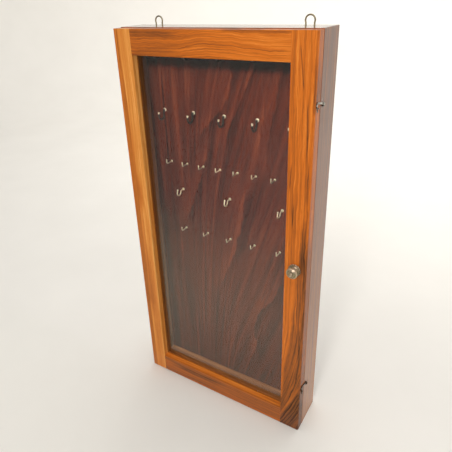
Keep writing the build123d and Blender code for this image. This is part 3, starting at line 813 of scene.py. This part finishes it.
cup_route = bent(
    (2.0, 0.0), round_stretch((2.0, -2.2), 2.1, 80, 5, 6), round_stretch((11.6, -8.6), 7.6, 180, 360, 26),
    (19.2, -6.0), (19.2, -3.8))
middle_route = bent(
    (6.6, 0.0), round_stretch((7.0, -2.4), 2.4, 85, 15, 6), round_stretch((15.3, -2.4), 5.8, 185, 380, 26),
    (20.3, 1.4), (19.3, 3.4))
square_route = bent(
    (12.6, -0.35), round_stretch((13.8, 2.3), 2.6, -95, -10, 8), (16.4, 4.0), (16.5, 7.6))
hook_kinds = {
    "large_cup": {
        "route": cup_route, "wire": 1.75, "collar": 3.6, "collar_depth": 1.3, "shank": 13.0, "ball": 2.1},
    "middle_cup": {
        "route": middle_route, "wire": 1.1, "collar": 2.9, "collar_depth": 1.1, "shank": 11.0, "ball": 1.6},
    "square": {
        "route": square_route, "wire": 1.0, "collar": 2.35, "collar_depth": 1.0, "shank": 10.0, "ball": 0.0},
}
hook_rows = {
    "top_row_hook": {"z": 721.0, "first_x": -139.0, "step": 66.3, "count": 5, "kind": "large_cup"},
    "cup_hook": {"z": 608.5, "first_x": -139.0, "step": 66.3, "count": 5, "kind": "large_cup"},
    "upper_small_hook": {"z": 505.0, "first_x": -132.2, "step": 37.8, "count": 8, "kind": "square"},
    "middle_hook": {"z": 448.5, "first_x": -108.3, "step": 109.3, "count": 3, "kind": "middle_cup"},
    "lower_small_hook": {"z": 360.5, "first_x": -107.2, "step": 53.7, "count": 5, "kind": "square"},
}


def hook_mesh(kind):
    """One swept skin from the shank's point through the collar and the bend to the tip."""
    wire = kind["wire"]
    steps = [(-kind["shank"], 0, point_radius), (-kind["shank"] + point_length, 0, wire), (0, 0, wire)]
    for out, width in collar_profile:
        steps.append((out * kind["collar_depth"], 0, width * kind["collar"]))
    steps.append((kind["collar_depth"], 0, wire))
    steps += [(reach, height, wire) for reach, height in kind["route"]]
    reach, height = kind["route"][-1]
    if kind["ball"]:
        ball = round_stretch((0, ball_rise * kind["ball"]), kind["ball"], *ball_ends, 9)
        steps += [(reach, height + up, radius) for radius, up in ball]
    else:
        steps += [(reach, height + up * wire, radius * wire) for up, radius in plain_tip]
    mesh = bmesh.new()
    points = [Vector((0, -reach, height)) * mm for reach, height, radius in steps]
    draw_wire(mesh, points, [radius * mm for reach, height, radius in steps], sides=hook_sides)
    return mesh


hook_brass = metal(
    "hook_brass", bright=(0.96, 0.92, 0.66), tarnish=(0.72, 0.64, 0.40), smooth=0.30, rough=0.45,
    spots_per_mm=0.8, metallic=0.75)
brass_and_painted_highlight = (0.97, 0.93, 0.68)
bronze_dark = (0.045, 0.042, 0.040)
bronze_worn = (0.16, 0.15, 0.13)
bronze_spots_per_mm = 0.7
collar_ends = (-1.7, -1.4)
tip_starts = (-17.0, -17.6)
tip_height = (-5.2, -4.6)

dark_bronze = Finish("dark_bronze", Metallic=1.0)
x, y, z = dark_bronze.places()
# Painted highlight: the collar and ball tip are coloured bright brass, partly their own brass and partly the
# light they catch.
collar_brass_and_highlight = dark_bronze.spread(y, *collar_ends)
tip_brass_and_highlight = dark_bronze.times(dark_bronze.spread(y, *tip_starts), dark_bronze.spread(z, *tip_height))
bright = dark_bronze.maths("MAXIMUM", collar_brass_and_highlight, tip_brass_and_highlight)
spots = dark_bronze.cloud(
    *[dark_bronze.times(place, bronze_spots_per_mm) for place in (x, y, z)], detail=4)
worn = dark_bronze.tones(spots, (0.42, bronze_dark), (0.66, bronze_worn))
dark_bronze.colour(dark_bronze.over(bright, worn, brass_and_painted_highlight))
dark_bronze.roughness(dark_bronze.spread(spots, 0.35, 0.65, 0.34, 0.18))

hook_data = {}
for row_name, row in hook_rows.items():
    for index in range(row["count"]):
        name = f"{row_name}_{index + 1}"
        large = row["kind"] == "large_cup"
        if row["kind"] not in hook_data:
            finish = dark_bronze if large else hook_brass
            hook = made_object("bent_" + name, hook_mesh(hook_kinds[row["kind"]]), finish, crease=50)
            hook_data[row["kind"]] = hook.data
        else:
            hook = bpy.data.objects.new("bent_" + name, hook_data[row["kind"]])
            bpy.context.scene.collection.objects.link(hook)
        hook.location = Vector((row["first_x"] + row["step"] * index, panel_front, row["z"])) * mm
        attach(hook, "case")
        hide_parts(name)


# Knob: cast and turned antique brass. A rosette with a roped rim sits on the stile, and the
# mushroom knob on it is drawn tight by a steel screw from inside the door.
rope_turns = 15
rope_middle = (10.05, 1.05)
rope_radius = 1.25
rope_slant = 2.4
rope_swell = 0.22
knob_sides = 72
petals = 12
screw_bore = 1.96
rosette_height = 2.2
knob_hollows = (2.9, 7.0)
hollow_width = 0.9
hollow_brown = (0.045, 0.027, 0.016)
hollow_strength = 0.8
rope_starts = (8.6, 8.9)
petals_start = (3.2, 3.8)
petals_end = (6.2, 6.8)
rosette_low, rosette_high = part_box("knob_rosette")
knob_x = (rosette_low.x + rosette_high.x) / 2 / mm
knob_z = (rosette_low.z + rosette_high.z) / 2 / mm
knob_stands = Matrix.Rotation(radians(90), 4, "X") @ Matrix.Scale(mm, 4)
knob_place = Matrix.Translation(Vector((knob_x, door_front, knob_z)) * mm) @ knob_stands

knob_metal = metal(
    "knob_brass", bright=(0.84, 0.66, 0.48), tarnish=(0.42, 0.30, 0.20), smooth=0.34, rough=0.48,
    spots_per_mm=0.45, metallic=0.8)
cast = knob_metal.shader.inputs["Base Color"].links[0].from_socket
x, y, z = knob_metal.places()
out = knob_metal.maths("SUBTRACT", x, knob_x)
up = knob_metal.maths("SUBTRACT", z, knob_z)
reach = knob_metal.maths("SQRT", knob_metal.plus(knob_metal.times(out, out), knob_metal.times(up, up)))
turned_by = knob_metal.maths("ARCTAN2", up, out)
slant = knob_metal.plus(knob_metal.times(turned_by, -rope_turns), knob_metal.times(reach, rope_slant))
rope_gaps = knob_metal.times(
    knob_metal.spread(knob_metal.maths("COSINE", slant), -0.6, 0.4, 1, 0),
    knob_metal.spread(reach, *rope_starts), knob_metal.spread(y, door_front - 4, door_front - 3))
petal_turn = knob_metal.times(turned_by, petals)
petal_gaps = knob_metal.times(
    knob_metal.spread(knob_metal.maths("COSINE", petal_turn), -0.9, -0.2, 1, 0),
    knob_metal.spread(reach, *petals_start), knob_metal.spread(reach, *petals_end, 1, 0))
hollows = knob_metal.maths("MAXIMUM", knob_metal.near(reach, knob_hollows, hollow_width), petal_gaps)
patina = knob_metal.maths("MAXIMUM", rope_gaps, knob_metal.times(hollows, hollow_strength))
knob_metal.colour(knob_metal.over(patina, cast, hollow_brown))


def roped(angle, radius, height):
    """Twists the rosette's rim into a rope."""
    out, up = radius - rope_middle[0], height - rope_middle[1]
    if radius < rope_middle[0] - rope_radius - 0.1 or height < 0.3:
        return radius, height
    swell = 1 + rope_swell * cos(rope_turns * angle + rope_slant * out)
    return rope_middle[0] + out * swell, rope_middle[1] + up * swell


mesh = bmesh.new()
outline = [(screw_bore, 0), (10.5, 0)] + round_stretch(rope_middle, rope_radius, -40, 190, 14)
outline += [(8.6, 0.85), (8.3, 0.85)] + round_stretch((7.7, 0.95), 0.55, -10, 190, 6)
outline += [(6.9, 0.85), (6.5, 1.0), (6.0, 1.7), (5.4, 2.1)]
outline += [(5.0, rosette_height), (screw_bore, rosette_height)]
turn(mesh, outline, 12 * rope_turns, knob_place, roped, ring=True)
rosette = made_object("roped_rosette", mesh, knob_metal)
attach(rosette, "door")
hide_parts("knob_rosette")

mesh = bmesh.new()
outline = [(0, 13.2), (screw_bore, 13.2), (screw_bore, rosette_height), (5.0, rosette_height)]
outline += round_stretch((4.7, 2.75), 0.5, -50, 70, 5)
outline += round_stretch((6.4, 5.4), 3.0, 230, 180, 6) + round_stretch((6.4, 7.5), 3.0, 180, 95, 8)
outline += [(8.9, 10.9)] + round_stretch((8.55, 12.6), 1.45, -60, 75, 9)
outline += [(8.3, 14.45), (7.9, 14.75), (7.4, 14.6), (7.0, 14.35), (6.6, 14.55), (6.2, 14.95)]
outline += [(5.4, 15.2), (4.6, 15.3), (4.1, 15.2), (3.7, 14.8), (3.1, 14.5), (2.5, 14.5), (2.1, 14.8)]
outline += round_stretch((0.6, 15.4), 1.45, -12, 78, 7) + [(0, 16.86)]
turn(mesh, outline, knob_sides, knob_place)
knob = made_object("turned_knob", mesh, knob_metal, crease=50)
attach(knob, "door")
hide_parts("knob")
dress("knob_screw", dull_steel)


# Hinges: brass butt hinges let into the door's back and the case's edge, each with a loose pin
# and six countersunk screws.
antique_brass = metal(
    "antique_brass", bright=(0.56, 0.42, 0.28), tarnish=(0.20, 0.14, 0.085), smooth=0.26, rough=0.46,
    spots_per_mm=0.45)
for node_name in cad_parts:
    if "hinge" in node_name:
        dress(node_name, antique_brass)


# Latches: swing hooks of bronze on the right side, alike in metal. The upper is coloured pale grey
# as a painted highlight, and the lower is dark brown.
# Each turns on a round-headed screw in the case and drops over a pin in the door's edge.
# Painted highlight: the upper latch is coloured pale grey where light catches it; the lower keeps dark
# brown.
painted_highlight_grey = ((0.40, (0.10, 0.09, 0.075)), (0.62, (0.55, 0.52, 0.47)))
dark_brown = ((0.42, (0.045, 0.032, 0.024)), (0.66, (0.150, 0.105, 0.070)))
brown_below = 300
highlight_above = 400
latch_spots_per_mm = 0.35

latch_bronze = Finish("latch_bronze", Metallic=1.0)
x, y, z = latch_bronze.places()
spots = latch_bronze.cloud(
    *[latch_bronze.times(place, latch_spots_per_mm) for place in (x, y, z)], detail=3)
browns = latch_bronze.tones(spots, *dark_brown)
highlight_greys = latch_bronze.tones(spots, *painted_highlight_grey)
latch_bronze.colour(latch_bronze.over(latch_bronze.spread(z, brown_below, highlight_above), browns, highlight_greys))
latch_bronze.roughness(latch_bronze.spread(spots, 0.35, 0.65, 0.45, 0.28))
for node_name in ("upper_latch_hook", "lower_latch_hook", "latch_screws", "catch_pins"):
    dress(node_name, latch_bronze)
